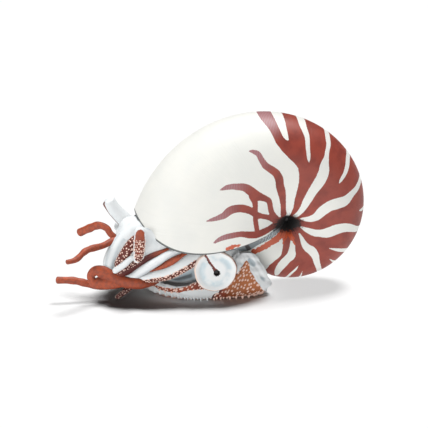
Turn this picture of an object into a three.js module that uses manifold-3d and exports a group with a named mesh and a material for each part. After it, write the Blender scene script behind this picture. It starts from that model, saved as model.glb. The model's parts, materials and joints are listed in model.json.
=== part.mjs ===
// A moulded nautilus figurine: a striped coiled shell lying on the animal's hood,
// with the eyes, the funnel, the tentacle sheaths and four tentacles in front of it.
// Millimetres, +Z up. The animal faces -X, and the plane Y = 0 is its plane of symmetry.

import * as THREE from "three";
import { mergeVertices } from "three/addons/utils/BufferGeometryUtils.js";
import Module from "manifold-3d";

const wasm = await Module();
wasm.setup();

// Driving dimensions

const CENTRING = 0.62; // moves the figurine so that its box is centred on the origin
const GAP = 0.3; // clearance between two pieces that touch
const TURN = 2 * Math.PI;
const DEGREE = Math.PI / 180;

// Shell: a flat spiral about an axis along Y
const COIL_X = 27;
const COIL_Z = 26.5;
const SPIRAL_RADIUS = 28.45; // from the axis to the keel, straight ahead along +X
const SPIRAL_GROWTH = 0.155; // per radian
const SPIRAL_FLARE = 0.0195; // per radian squared
const HALF_WIDTH = 10.66; // of the whorl, straight ahead along +X
const WIDTH_FLARE = 0.012; // per radian squared
const SECTION_POWER = 2.1; // 2 would be an ellipse
const PIT_HALF = 3.5; // half the thickness left between the two navels
const LIP_AT_KEEL = 175.5 * DEGREE;
const LIP_SWEEP = 19 * DEGREE; // how much further round the lip reaches beside the axis
const LIP_WALL = 1.3;
const COIL_FROM = -192 * DEGREE;
const COIL_TO = 157 * DEGREE;
const CHAMBER_FROM = 150 * DEGREE;
const CHAMBER_INSET = 0.5; // keeps the chamber's buried end inside the coil
const RECESS_FROM = 169 * DEGREE;

const NEAR = [0, -1, 0.2]; // the way most fingers turn their broad side

// Hood: a warty shield that the figurine lies on
const HOOD_X = -2;
const HOOD_FRONT = { reach: 24, power: 2.6 };
const HOOD_REAR = { reach: 27.5, power: 4 };
const HOOD_HALF_WIDTH = 14;
const HOOD_WALL = 2.6;
const HOOD_RIM = 5.6;
const HOOD_FLOOR = 4.4;
const HOOD_EAR = 10.8; // how far an ear stands above the rim
const HOOD_EAR_AT = 37 * DEGREE;
const HOOD_EAR_SPREAD = 15 * DEGREE;
const HOOD_EAR_LEAN = 0.19;
const HOOD_NOTCH = 0.4; // share of the length that is cut back behind the coil
const HOOD_NOTCH_SPREAD = 20 * DEGREE;

// Eyes: dished discs on short stalks
const EYE_X = -0.6;
const EYE_OUT = 18.9;
const EYE_Z = 12.4;
const EYE_RADIUS = 7.3;
const EYE_STALK = 7;
const PUPIL_DEPTH = 1.1;

// Facets
const WHORL_SIDES = 20;
const COIL_STEPS = 32;
const CHAMBER_STEPS = 6;
const HOOD_SIDES = 42;
const EYE_SIDES = 16;

// Colours
const CREAM = 0xeeeee6;
const WHITE = 0xe4eaec;
const ORANGE = 0xbe5f3d;
const SPOTTED = 0xb0654c;

// Building blocks

// A closed geometry as a solid with its faces pointing outwards.
function solidOf(geometry) {
  const bare = geometry.clone();
  bare.deleteAttribute("normal");
  bare.deleteAttribute("uv");
  const merged = mergeVertices(bare, 1e-4);
  const corners = merged.index.array;
  const kept = [];
  for (let i = 0; i < corners.length; i += 3) {
    const [a, b, c] = [corners[i], corners[i + 1], corners[i + 2]];
    if (a !== b && b !== c && c !== a) kept.push(a, b, c);
  }
  const build = (triangles) =>
    new wasm.Manifold(
      new wasm.Mesh({
        numProp: 3,
        vertProperties: merged.attributes.position.array,
        triVerts: new Uint32Array(triangles),
      }),
    );
  const solid = build(kept);
  return solid.volume() < 0 ? build(kept.reverse()) : solid;
}

// A closed surface through rings that all have the same number of points. Each end is
// closed by chords between the points that face each other across the ring.
function loft(rings) {
  const count = rings[0].length;
  const index = [];
  for (let i = 0; i + 1 < rings.length; i += 1) {
    for (let j = 0; j < count; j += 1) {
      const a = i * count + j;
      const b = i * count + ((j + 1) % count);
      index.push(a, b, a + count, b, b + count, a + count);
    }
  }
  const last = (rings.length - 1) * count;
  for (let j = 0; j < count / 2 - 1; j += 1) {
    const [a, b, c, d] = [j, j + 1, count - 2 - j, count - 1 - j];
    index.push(a, d, b);
    index.push(last + a, last + b, last + d);
    if (b < c) {
      index.push(b, d, c);
      index.push(last + b, last + c, last + d);
    }
  }
  const geometry = new THREE.BufferGeometry();
  const positions = rings.flat().flatMap((p) => [p.x, p.y, p.z]);
  geometry.setAttribute("position", new THREE.Float32BufferAttribute(positions, 3));
  geometry.setIndex(index);
  return geometry;
}

const mirrored = ([x, y, z]) => [x, -y, z];

// Shell

const keel = (turn) => SPIRAL_RADIUS * Math.exp(SPIRAL_GROWTH * turn + SPIRAL_FLARE * turn ** 2);
const breadth = (turn) => HALF_WIDTH * Math.exp(SPIRAL_GROWTH * turn + WIDTH_FLARE * turn ** 2);
const lipTurn = (share) => LIP_AT_KEEL + LIP_SWEEP * (1 - share ** 3);

// One ring of the whorl: it starts on the axis, runs out along one flank to the keel and
// comes back along the other flank. `inset` draws it in from the shell's surface.
function whorlRing(turnAt, inset) {
  return Array.from({ length: WHORL_SIDES + 1 }, (_, j) => {
    const round = Math.PI * ((2 * j) / WHORL_SIDES - 1);
    const squared = (value) => Math.sign(value) * Math.abs(value) ** (2 / SECTION_POWER);
    const along = squared(Math.cos(round));
    const share = (1 + along) / 2;
    const turn = turnAt(share);
    const radius = Math.max(keel(turn) / 2 + (keel(turn) / 2 - inset) * along, 0);
    const pit = inset > 0 || share > 0.3 ? 0 : PIT_HALF - inset;
    const half = Math.max((breadth(turn) - inset) * Math.abs(squared(Math.sin(round))), pit);
    return new THREE.Vector3(
      COIL_X + radius * Math.cos(turn),
      2 * j < WHORL_SIDES ? -half : half,
      COIL_Z + radius * Math.sin(turn),
    );
  });
}

// The rings from one turn to another, where `to` may depend on the share of the radius.
function whorl(from, to, steps, inset) {
  return Array.from({ length: steps + 1 }, (_, i) =>
    whorlRing((share) => from + ((to(share) - from) * i) / steps, inset),
  );
}

// The shell is solid but for a recess inside its lip, where the head is seated.
function shell(grow) {
  const past = grow / keel(LIP_AT_KEEL);
  const coil = whorl(COIL_FROM, () => COIL_TO, COIL_STEPS, -grow);
  const buried = whorlRing(() => CHAMBER_FROM, CHAMBER_INSET - grow);
  const chamber = whorl(COIL_TO, (share) => lipTurn(share) + past, CHAMBER_STEPS, -grow);
  const beyond = (share) => lipTurn(share) + LIP_SWEEP;
  const recess = whorl(RECESS_FROM + past, beyond, CHAMBER_STEPS, LIP_WALL + grow);
  return solidOf(loft([buried, ...chamber]))
    .subtract(solidOf(loft(recess)))
    .add(solidOf(loft(coil)));
}

// Fingers: sheaths, tentacles and the funnel

// A rounded finger along a path. Each point of the path has two half-thicknesses:
// one across the finger, and one towards `face`.
function finger({ path, radii, face = NEAR, steps = 6, sides = 8 }, grow) {
  const curve = new THREE.CatmullRomCurve3(path.map((p) => new THREE.Vector3(...p)));
  const length = curve.getLength();
  const tip = Math.min(...radii.at(-1));
  const stops = Array.from({ length: steps + 1 }, (_, i) => ((length - tip) * i) / steps);
  for (const turn of [40, 75]) stops.push(length - tip + tip * Math.sin(turn * DEGREE));
  const rings = stops.map((stop, i) => {
    const at = curve.getUtoTmapping(stop / length);
    const tangent = curve.getTangent(at).normalize();
    const towards = new THREE.Vector3(...face).projectOnPlane(tangent).normalize();
    const across = new THREE.Vector3().crossVectors(tangent, towards);
    const place = at * (radii.length - 1);
    const low = Math.min(Math.floor(place), radii.length - 2);
    const [wide, deep] = [0, 1].map((k) =>
      THREE.MathUtils.lerp(radii[low][k], radii[low + 1][k], place - low),
    );
    const rounding = Math.sqrt(1 - (Math.max(stop - length + tip, 0) / tip) ** 2);
    const shift = i === 0 ? -grow : i === stops.length - 1 ? grow : 0;
    const centre = curve.getPoint(at).addScaledVector(tangent, shift);
    return Array.from({ length: sides }, (_, j) => {
      const turn = (TURN * (j + 0.5)) / sides;
      return centre
        .clone()
        .addScaledVector(across, (wide * rounding + grow) * Math.cos(turn))
        .addScaledVector(towards, (deep * rounding + grow) * Math.sin(turn));
    });
  });
  return solidOf(loft(rings));
}

// Right side of the animal, which is -Y. The left side mirrors it.
const SHEATHS = {
  sheath_ventral: {
    path: [[-24, -4, 27], [-29.2, -6.2, 28], [-33.8, -8, 22.2], [-36.4, -8.8, 17.6], [-38.8, -9, 12.6]],
    radii: [[2.3, 2.1], [2.8, 2.4], [2.8, 2.5], [2.9, 2.4], [2.2, 2.1]],
  },
  sheath_inner: {
    path: [[-24, -9, 25], [-29, -12, 22.8], [-32.5, -12.8, 18.6], [-35.6, -12.2, 13.6]],
    radii: [[1.4, 1.8], [1.6, 2], [1.7, 2], [1.3, 1.6]],
  },
  sheath_upright: {
    path: [[-22, -10, 13], [-27, -14.4, 15.4], [-26.9, -15.6, 21], [-26.6, -14.4, 28.6]],
    radii: [[1.8, 1.5], [1.9, 1.6], [2, 1.6], [1.7, 1.3]],
  },
  sheath_fold: {
    path: [[-11, -12, 21.6], [-18.5, -15.6, 19.9], [-24.4, -15.2, 17.6], [-32.6, -13, 13.2], [-37.4, -12, 10.4]],
    radii: [[1, 1.8], [1.2, 2.1], [1.5, 2.2], [2, 2.2], [1.2, 1.6]],
  },
  sheath_middle: {
    path: [[-8, -12.6, 21], [-17, -16.3, 18.9], [-26.7, -15, 13.6], [-34.8, -12.2, 8.6]],
    radii: [[1.4, 2.2], [1.6, 2.5], [2, 2.4], [1.2, 1.7]],
  },
  resting_cirrus: {
    path: [[-3, -12, 19.4], [-11, -16.3, 18.9], [-18.6, -16.4, 15], [-26, -14, 10.6]],
    radii: [[0.9, 1.5], [1.1, 1.7], [1, 1.7], [0.8, 1.2]],
  },
  sheath_lateral: {
    path: [[3, -12, 17], [-6, -17.3, 16.8], [-15, -17, 13.2], [-26.4, -13, 7]],
    radii: [[2.2, 2.2], [2.5, 2.6], [2.6, 2.6], [1.3, 1.7]],
  },
  sheath_foot: {
    path: [[-21, -6, 9], [-28, -7.6, 6.4], [-33, -8, 2.6], [-36.4, -8, 0.3]],
    radii: [[2, 2], [1.8, 1.8], [1.5, 1.5], [1, 1.3]],
    face: [0, -1, 0],
  },
};

const TENTACLES = {
  tentacle_upper: {
    path: [[-31, -4, 18.6], [-36.4, -4, 23], [-38.2, -3.2, 25.6], [-41, -1.6, 26], [-44.5, 1, 24.1], [-48.6, 4, 21.2]],
    radii: [[0.9, 0.9], [0.9, 0.9], [1, 1], [1.25, 1.2], [1.35, 1.3], [1.3, 1.2]],
    steps: 9,
    sides: 6,
  },
  tentacle_outer: {
    path: [[-31, -6, 24], [-36, -7, 23.6], [-40, -9.6, 21.9], [-46, -14.6, 21.2], [-50, -17.6, 19], [-53.7, -19.5, 18.7]],
    radii: [[1, 1], [1, 1], [1.05, 1.05], [1.05, 1.05], [1, 1], [0.9, 0.9]],
    face: [0, 0, 1],
    steps: 9,
    sides: 6,
  },
  tentacle_looped: {
    path: [
      [-20, -12.6, 6.6],
      [-25.6, -12.6, 7],
      [-31, -12.4, 7.6],
      [-36, -12.2, 9.4],
      [-39.4, -12, 12],
      [-42.2, -11.6, 12.6],
      [-44.3, -11.4, 11.2],
      [-44.8, -11.6, 9],
      [-43.8, -12, 6.8],
      [-41.6, -12.4, 5],
    ],
    radii: [
      [1, 1.2],
      [1.5, 1.4],
      [1.7, 1.4],
      [1.7, 1.4],
      [1.65, 1.4],
      [1.6, 1.4],
      [1.5, 1.3],
      [1.4, 1.2],
      [1.3, 1.1],
      [1.1, 1],
    ],
    steps: 16,
    sides: 6,
  },
  tentacle_low: {
    path: [[-29, -6, 6.6], [-34.6, -7.8, 5.4], [-40, -8.8, 5.2], [-44.9, -9, 6.4], [-50.5, -9, 8], [-57, -9, 8.5]],
    radii: [[1, 1], [1.2, 1.2], [1.2, 1.2], [1.2, 1.15], [1.15, 1.1], [1, 0.9]],
    steps: 9,
    sides: 6,
  },
};

const FUNNEL = {
  path: [[-22, 0, 19], [-27, 0, 23.2], [-31.8, 0, 27.8], [-35.2, 0, 31.2], [-38.5, 0, 36]],
  radii: [[3, 3], [3.2, 3.2], [2.75, 2.7], [2.5, 2.4], [2.2, 2.1]],
  steps: 7,
  sides: 10,
};

// Hood

// A bowl drawn round its middle. Every direction has the same profile: out along the
// underside, up the wall to the rim, and back down inside to a floor.
function hood(grow) {
  const hump = (angle, at, spread) =>
    Math.exp(-((Math.atan2(Math.sin(angle - at), Math.cos(angle - at)) / spread) ** 2));
  const profiles = Array.from({ length: HOOD_SIDES }, (_, i) => {
    const angle = (TURN * i) / HOOD_SIDES;
    const along = Math.abs(Math.cos(angle));
    const aside = Math.abs(Math.sin(angle));
    const end = Math.cos(angle) < 0 ? HOOD_FRONT : HOOD_REAR;
    const oval = (along / end.reach) ** end.power + (aside / HOOD_HALF_WIDTH) ** end.power;
    const notch = HOOD_NOTCH * hump(angle, 0, HOOD_NOTCH_SPREAD);
    const reach = oval ** (-1 / end.power) * (1 - notch);
    const ear = Math.max(...[1, -1].map((k) => hump(angle, k * HOOD_EAR_AT, HOOD_EAR_SPREAD)));
    const rim = HOOD_RIM + HOOD_EAR * ear;
    const lean = reach * HOOD_EAR_LEAN * ear;
    const flat = reach * (0.7 + 0.14 * aside ** 2);
    const lift = 4.4 - 2.2 * aside;
    const profile = [
      [flat + grow, -grow],
      [(reach + flat) / 2 + grow, 0.3 * lift - grow],
      [reach + grow, lift - grow / 2],
      [reach - lean * 0.4 + grow, (lift + rim) / 2],
      [reach - lean + grow, rim - 0.6 + grow],
      [reach - lean - 0.9, rim + grow],
      [reach - lean - HOOD_WALL - grow, rim - 0.9 + grow],
      [reach - lean * 0.5 - HOOD_WALL - grow, Math.min(rim - 1.1, HOOD_FLOOR) + grow],
    ];
    const point = ([r, z]) =>
      new THREE.Vector3(HOOD_X + r * Math.cos(angle), r * Math.sin(angle), z);
    return profile.map(point);
  });
  return solidOf(loft(profiles[0].map((_, k) => profiles.map((profile) => profile[k]))));
}

// Eyes

// A dished disc with a raised rim and a pinhole pupil, turned about its own axis.
function eye(side, grow) {
  const radius = EYE_RADIUS + grow;
  const pupil = grow > 0 ? grow : -PUPIL_DEPTH;
  const profile = [
    [0, -EYE_STALK - grow],
    [3.4 + grow, -EYE_STALK - grow],
    [4.6 + grow, -3.4 - grow],
    [radius - 1.2, -2.8 - grow],
    [radius, -1.7],
    [radius, -0.6],
    [radius - 0.8, grow],
    [radius - 2.4, -0.5 + grow],
    [1.5, grow],
    [0.9, pupil],
    [0, pupil],
  ].map(([x, y]) => new THREE.Vector2(x, y));
  const disc = new THREE.LatheGeometry(profile, EYE_SIDES);
  if (side < 0) disc.rotateX(Math.PI);
  return solidOf(disc.translate(EYE_X, side * EYE_OUT, EYE_Z));
}

// Head

function ball([x, y, z], [a, b, c], segments) {
  const geometry = new THREE.SphereGeometry(1, segments, segments / 2);
  return solidOf(geometry.scale(a, b, c).translate(x, y, z));
}

function head() {
  const cheeks = ball([-9, 0, 15.4], [20.5, 15.4, 12.6], 14);
  const crown = ball([-23.5, 0, 19], [8.5, 11.4, 11], 10);
  return cheeks.add(crown);
}

// Assembly

const figurine = new THREE.Group();
figurine.position.x = CENTRING;
const clearances = [];

// Adds a piece, cut back to a clear gap from every piece added before it.
function place(name, make, colour, roughness) {
  let solid = make(0).trimByPlane([0, 0, 1], 0);
  for (const clearance of clearances) solid = solid.subtract(clearance);
  const body = solid.decompose().reduce((a, b) => (b.volume() > a.volume() ? b : a));
  clearances.push(make(GAP));
  const { numProp, vertProperties, triVerts } = body.getMesh();
  const stride = new THREE.InterleavedBuffer(vertProperties, numProp);
  const geometry = new THREE.BufferGeometry();
  geometry.setAttribute("position", new THREE.InterleavedBufferAttribute(stride, 3, 0));
  geometry.setIndex(new THREE.BufferAttribute(triVerts, 1));
  const material = new THREE.MeshStandardMaterial({ color: colour, roughness, metalness: 0 });
  const mesh = new THREE.Mesh(geometry, material);
  mesh.name = name;
  figurine.add(mesh);
}

const mirroredFinger = (spec) => ({
  ...spec,
  path: spec.path.map(mirrored),
  face: mirrored(spec.face ?? NEAR),
});

place("shell", shell, CREAM, 0.5);
for (const [side, name] of [[-1, "eye_right"], [1, "eye_left"]]) {
  place(name, (grow) => eye(side, grow), WHITE, 0.35);
}
place("hood", hood, SPOTTED, 0.55);
place("funnel", (grow) => finger(FUNNEL, grow), WHITE, 0.5);
for (const [name, spec] of Object.entries(SHEATHS)) {
  const colour = name === "resting_cirrus" ? ORANGE : WHITE;
  place(name + "_right", (grow) => finger(spec, grow), colour, 0.5);
  place(name + "_left", (grow) => finger(mirroredFinger(spec), grow), colour, 0.5);
}
for (const [name, spec] of Object.entries(TENTACLES)) {
  place(name, (grow) => finger(spec, grow), ORANGE, 0.5);
}
place("head", head, WHITE, 0.5);

export default figurine;
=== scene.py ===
# %% [markdown]
# This lesson dresses a moulded, hand-painted figurine of a nautilus. The animal lies upside
# down on its hood, its coiled shell stands above it, and thin tentacles reach forward. The
# solids of the part are loaded first, and each of them then gives way to a new piece. Only the
# two slender sheaths and the two lip bands stand for no solid.

# %% Load the part
import json

import bmesh
import bpy
import numpy as np
from mathutils import Matrix

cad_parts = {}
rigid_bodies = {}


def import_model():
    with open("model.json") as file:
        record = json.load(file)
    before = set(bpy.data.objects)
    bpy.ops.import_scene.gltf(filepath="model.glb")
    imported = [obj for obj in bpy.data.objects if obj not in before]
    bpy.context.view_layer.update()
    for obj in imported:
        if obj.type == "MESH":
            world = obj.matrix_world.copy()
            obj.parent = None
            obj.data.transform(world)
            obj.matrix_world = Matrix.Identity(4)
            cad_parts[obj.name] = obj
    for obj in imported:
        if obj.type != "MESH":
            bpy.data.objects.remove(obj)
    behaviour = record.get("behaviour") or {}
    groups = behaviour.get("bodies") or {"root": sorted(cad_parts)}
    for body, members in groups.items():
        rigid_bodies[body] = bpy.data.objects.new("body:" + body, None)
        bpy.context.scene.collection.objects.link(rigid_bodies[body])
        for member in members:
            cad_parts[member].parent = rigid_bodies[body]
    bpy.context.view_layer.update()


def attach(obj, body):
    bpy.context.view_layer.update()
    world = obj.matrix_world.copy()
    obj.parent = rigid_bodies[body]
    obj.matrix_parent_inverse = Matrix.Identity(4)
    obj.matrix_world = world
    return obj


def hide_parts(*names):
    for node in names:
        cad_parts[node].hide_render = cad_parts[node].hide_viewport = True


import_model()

# %% [markdown]
# Everything below is worked out in millimetres, about the plane Y = 0 that the animal is
# symmetric about, and turned into Blender's metres at the very end. One small shift along X
# centres the figurine on the part's own box.

# %% Units and small helpers
MM = 0.001
CENTRING = 0.62
NEAR = (0.0, -1.0, 0.2)


def unit(vectors):
    """Each vector divided by its own length."""
    return vectors / np.maximum(np.linalg.norm(vectors, axis=-1, keepdims=True), 1e-9)


def ease(low, high, value):
    """Smooth step: 0 below low, 1 above high, 3t^2 - 2t^3 between."""
    t = np.clip((value - low) / (high - low), 0, 1)
    return t * t * (3 - 2 * t)


def curve(points, at):
    """Catmull-Rom curve through `points`, at parameters that count them from 0: half of
    (2p1 + (p2-p0)t + (2p0-5p1+4p2-p3)t^2 + (3p1-p0-3p2+p3)t^3)."""
    p = np.asarray(points, float)
    ends = np.concatenate([2 * p[:1] - p[1:2], p, 2 * p[-1:] - p[-2:-1]])
    k = np.minimum(at.astype(int), len(p) - 2)
    t = (at - k).reshape(-1, *[1] * (p.ndim - 1))
    a, b, c, d = (ends[k + n] for n in range(4))
    bend = 2 * a - 5 * b + 4 * c - d
    return 0.5 * (2 * b + (c - a) * t + bend * t**2 + (3 * b - a - 3 * c + d) * t**3)


def spline(points, count):
    """The same curve at `count` even parameters from its first point to its last."""
    return curve(points, np.linspace(0, len(points) - 1, count))


def off_segment(x, z, start, end):
    """For each place: the share of the way along a straight piece at which it is nearest, and
    how far off it is there."""
    step_x = end[0] - start[0]
    step_z = end[1] - start[1]
    length = max(step_x**2 + step_z**2, 1e-9)
    at = np.clip(((x - start[0]) * step_x + (z - start[1]) * step_z) / length, 0, 1)
    return at, np.hypot(x - start[0] - at * step_x, z - start[1] - at * step_z)


def grid_normals(points):
    """Unit cross product of the differences along and around a grid that closes around."""
    along = np.gradient(points, axis=0)
    around = np.roll(points, -1, 1) - np.roll(points, 1, 1)
    return unit(np.cross(along, around))


print("helpers ready")

# %% [markdown]
# A mesh is made from a grid of points: neighbouring points become the corners of quads. Where
# a ring of the grid shrinks to one point or to a line, its doubled points are merged, so the
# skin ends up closed, and then its faces are turned to point outwards.

# %% Put a grid into a mesh
def write_values(mesh, values, shape):
    """Each painted value as an attribute of the mesh, spread over a grid of that shape."""
    for key, value in values.items():
        layer = mesh.attributes.new(key, "FLOAT", "POINT")
        layer.data.foreach_set("value", np.broadcast_to(value, shape).astype(np.float32).ravel())


def put_grid(name, points, values=None, mirror=False):
    """Quads between neighbours of a (rows, columns, 3) grid whose columns close around."""
    rows, columns = points.shape[:2]
    if mirror:
        points = points * [1, -1, 1]
    start = np.arange(rows * columns).reshape(rows, columns)
    after = np.roll(start, -1, 1)
    quads = np.stack([start[:-1], after[:-1], after[1:], start[1:]], -1).reshape(-1, 4)
    mesh = bpy.data.meshes.new(name)
    mesh.from_pydata(((points + [CENTRING, 0, 0]) * MM).reshape(-1, 3).tolist(), [], quads.tolist())
    write_values(mesh, values or {}, (rows, columns))
    work = bmesh.new()
    work.from_mesh(mesh)
    bmesh.ops.remove_doubles(work, verts=work.verts, dist=2e-6)
    bmesh.ops.recalc_face_normals(work, faces=work.faces)
    work.to_mesh(mesh)
    work.free()
    mesh.polygons.foreach_set("use_smooth", np.ones(len(mesh.polygons), bool))
    piece = bpy.data.objects.new(name, mesh)
    bpy.context.scene.collection.objects.link(piece)
    return piece


def stand_in_for(piece, slot, material, *nodes):
    """Finish a piece with its material on the one body, and hide the nodes it replaces; `slot` is not used.
    """
    piece.data.materials.append(material)
    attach(piece, "root")
    if nodes:
        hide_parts(*nodes)
    print(piece.name, len(piece.data.vertices), "points")


print("mesh helpers ready")

# %% [markdown]
# Materials are node trees. Writing them as arithmetic keeps them readable: a small class wraps
# one socket, and each +, - or * on it adds the Math node that does it. A second class owns a
# material and makes every other node through a single method.

# %% Shader arithmetic
class Value:
    """One number that changes over the surface, as an output socket of a node tree."""

    def __init__(self, finish, socket):
        self.finish = finish
        self.socket = socket

    def maths(self, operation, *terms):
        inputs = dict(enumerate(terms))
        return self.finish.node("ShaderNodeMath", {"operation": operation}, inputs)

    def __add__(self, other):
        return self.maths("ADD", self, other)

    def __sub__(self, other):
        return self.maths("SUBTRACT", self, other)

    def __rsub__(self, other):
        return self.maths("SUBTRACT", other, self)

    def __mul__(self, other):
        return self.maths("MULTIPLY", self, other)

    __radd__ = __add__
    __rmul__ = __mul__

    def ramp(self, low, high):
        """0 at low, 1 at high, eased at both ends."""
        inputs = {"Value": self, "From Min": low, "From Max": high}
        return self.finish.node("ShaderNodeMapRange", {"interpolation_type": "SMOOTHSTEP"}, inputs)


class Finish:
    """A material with one Principled shader."""

    def __init__(self, name):
        self.material = bpy.data.materials.new(name)
        self.material.use_nodes = True
        self.tree = self.material.node_tree
        self.shader = self.tree.nodes["Principled BSDF"]

    def node(self, kind, settings=None, inputs=None, output=0):
        made = self.tree.nodes.new(kind)
        for key, value in (settings or {}).items():
            setattr(made, key, value)
        for key, value in (inputs or {}).items():
            self.join(value, made.inputs[key])
        return Value(self, made.outputs[output])

    def join(self, value, socket):
        if isinstance(value, Value):
            self.tree.links.new(value.socket, socket)
        else:
            socket.default_value = value

    def place(self):
        return self.node("ShaderNodeTexCoord", output="Object")

    def attribute(self, name):
        return self.node("ShaderNodeAttribute", {"attribute_name": name}, output="Fac")

    def noise(self, per_mm, detail=2.0):
        inputs = {"Vector": self.place(), "Scale": per_mm / MM, "Detail": detail}
        return self.node("ShaderNodeTexNoise", {}, inputs, output="Fac")

    def noise_along(self, name, scale, detail):
        """Noise that changes only with one painted value."""
        inputs = {"W": self.attribute(name), "Scale": scale, "Detail": detail}
        return self.node("ShaderNodeTexNoise", {"noise_dimensions": "1D"}, inputs, output="Fac")

    def wave(self, per_mm, **inputs):
        inputs = {key.replace("_", " "): value for key, value in inputs.items()}
        inputs |= {"Vector": self.place(), "Scale": per_mm / MM}
        return self.node("ShaderNodeTexWave", {"bands_direction": "X"}, inputs, output="Fac")

    def mix(self, factor, first, second):
        """Sockets of a Mix node: 0 is its factor, 6 and 7 are its colours, output 2 is the mix."""
        inputs = {0: factor, 6: first, 7: second}
        return self.node("ShaderNodeMix", {"data_type": "RGBA"}, inputs, output=2)

    def set(self, **sockets):
        for key, value in sockets.items():
            self.join(value, self.shader.inputs[key.replace("_", " ")])
        return self.material

    def bump(self, height, depth_mm, strength=1.0):
        inputs = {"Height": height, "Distance": depth_mm * MM, "Strength": strength}
        return self.node("ShaderNodeBump", {}, inputs)


def colour(red, green, blue):
    """A colour given as 0 to 255 on the screen, turned into the light it stands for."""
    screen = np.array([red, green, blue]) / 255
    light = np.where(screen < 0.04045, screen / 12.92, ((screen + 0.055) / 1.055) ** 2.4)
    return (*light.tolist(), 1.0)


print("shader kit ready")

# %% [markdown]
# The camera comes first, because every piece is judged from it. It looks at the animal's right
# side, from a little to the front and 18 degrees above, through a long lens, as the photograph
# was taken. Its place is worked out from those angles.

# %% Camera
VIEW_TURN = np.radians(-7)
VIEW_RISE = np.radians(18)
VIEW_DISTANCE = 700
VIEW_TARGET = np.array([1 + CENTRING, 0, 34.5])
VIEW_LOWER = 6.06
VIEW_WIDTH = 154.4
SENSOR = 36

back = np.array([
    np.sin(VIEW_TURN) * np.cos(VIEW_RISE),
    -np.cos(VIEW_TURN) * np.cos(VIEW_RISE),
    np.sin(VIEW_RISE),
])
right = np.array([np.cos(VIEW_TURN), np.sin(VIEW_TURN), 0])
up = np.cross(back, right)
lens = bpy.data.cameras.new("camera")
lens.lens = SENSOR * VIEW_DISTANCE / VIEW_WIDTH
lens.sensor_width = SENSOR
lens.clip_start = 0.01
lens.clip_end = 20
camera = bpy.data.objects.new("camera", lens)
pose = np.eye(4)
pose[:3, :3] = np.column_stack([right, up, back])
pose[:3, 3] = (VIEW_TARGET + back * VIEW_DISTANCE - up * VIEW_LOWER) * MM
camera.matrix_world = Matrix(pose.tolist())
bpy.context.scene.collection.objects.link(camera)
bpy.context.scene.camera = camera
print("lens", round(lens.lens, 1), "mm")

# %% [markdown]
# The shell is a flat spiral. Its radius grows as the exponential of the turn, a little faster
# towards the mouth, and so does its breadth. A ring of the whorl runs from the axis out along
# one flank to the keel and back along the other. The photograph shows a body chamber whose lip
# is swept further round beside the axis than at the keel.

# %% Spiral
COIL = (27.0, 26.5)
SPIRAL_RADIUS = 28.45
SPIRAL_GROWTH = 0.155
SPIRAL_FLARE = 0.0195
HALF_WIDTH = 10.66
WIDTH_FLARE = 0.012
SECTION_POWER = 2.1
PIT_HALF = 3.5
PIT_SHARE = 0.3
LIP_AT_KEEL = 175.5
LIP_SWEEP = 19
SWEEP_FROM = 120
LIP_WALL = 1.3
LIP_RADIUS = 45
COIL_FROM = -192
RECESS_FROM = 169


def keel(turn):
    """Radius times e to the growth times the turn plus the flare times its square."""
    return SPIRAL_RADIUS * np.exp(SPIRAL_GROWTH * turn + SPIRAL_FLARE * turn**2)


def breadth(turn):
    """The same law for half of the whorl's breadth."""
    return HALF_WIDTH * np.exp(SPIRAL_GROWTH * turn + WIDTH_FLARE * turn**2)


def flank(turn, share, inset=0.0):
    """Half thickness of the whorl at a share of the way from the axis to the keel: the breadth
    times (1 - |2 share - 1|^power)^(1/power)."""
    off = np.abs(2 * share - 1) ** SECTION_POWER
    return (breadth(turn) - inset) * np.maximum(1 - off, 0) ** (1 / SECTION_POWER)


def squared(value):
    """A circle's sine or cosine made squarer: its sign times its size to the power of 2 over
    the section's own power."""
    return np.sign(value) * np.abs(value) ** (2 / SECTION_POWER)


def whorl(degrees, round_angle, inset):
    """Points of the whorl for turns in degrees and for angles round the section, drawn in by
    `inset`, and the turn and radius of each. The lip's sweep comes in over the last stretch."""
    out = squared(np.cos(round_angle))
    share = (1 + out) / 2
    sweep = LIP_SWEEP * (1 - share**3) * ease(SWEEP_FROM, LIP_AT_KEEL, degrees)
    turn = np.radians(degrees + sweep)
    radius = np.maximum(keel(turn) / 2 + (keel(turn) / 2 - inset) * out, 0)
    pit = np.where((inset > 0) | (share > PIT_SHARE), 0.0, PIT_HALF)
    half = np.maximum((breadth(turn) - inset) * np.abs(squared(np.sin(round_angle))), pit)
    side = np.where(round_angle < 0, -1, 1)
    x = COIL[0] + radius * np.cos(turn)
    z = COIL[1] + radius * np.sin(turn)
    return np.stack([x, side * half, z], -1), np.degrees(turn), radius


COLUMNS = 240
section = np.linspace(-np.pi, np.pi, COLUMNS)[None, :]
outer_rows = np.linspace(COIL_FROM, LIP_AT_KEEL, 366)[:, None]
roll = np.linspace(0, np.pi, 9)[1:, None]
inner_rows = np.linspace(LIP_AT_KEEL, RECESS_FROM, 10)[1:, None]
outer = whorl(outer_rows, section, 0.0)
half_wall = LIP_WALL / 2
rounding = np.degrees(half_wall / LIP_RADIUS) * np.sin(roll)
edge = whorl(LIP_AT_KEEL + rounding, section, half_wall * (1 - np.cos(roll)))
inner = whorl(inner_rows, section, LIP_WALL)
points, turns, radii = (np.concatenate(parts) for parts in zip(outer, edge, inner))
flat = np.array([1, 0, 1])
points = np.concatenate([points[:1] * flat, points, points[-1:] * flat])
turns = np.concatenate([turns[:1], turns, turns[-1:]])
radii = np.concatenate([radii[:1], radii, radii[-1:]])
print("shell grid", points.shape, "longest radius", round(float(radii.max()), 1))

# %% [markdown]
# The flames are painted. Each is a brush stroke given by its middle line and half width, in the
# shell's own angle and radius, so it bends with the coil. Where strokes and white gaps meet, the
# height of the paint over its own edge decides: the shader only asks if it is above zero, which
# keeps the edge crisp however coarse the mesh is.

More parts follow.
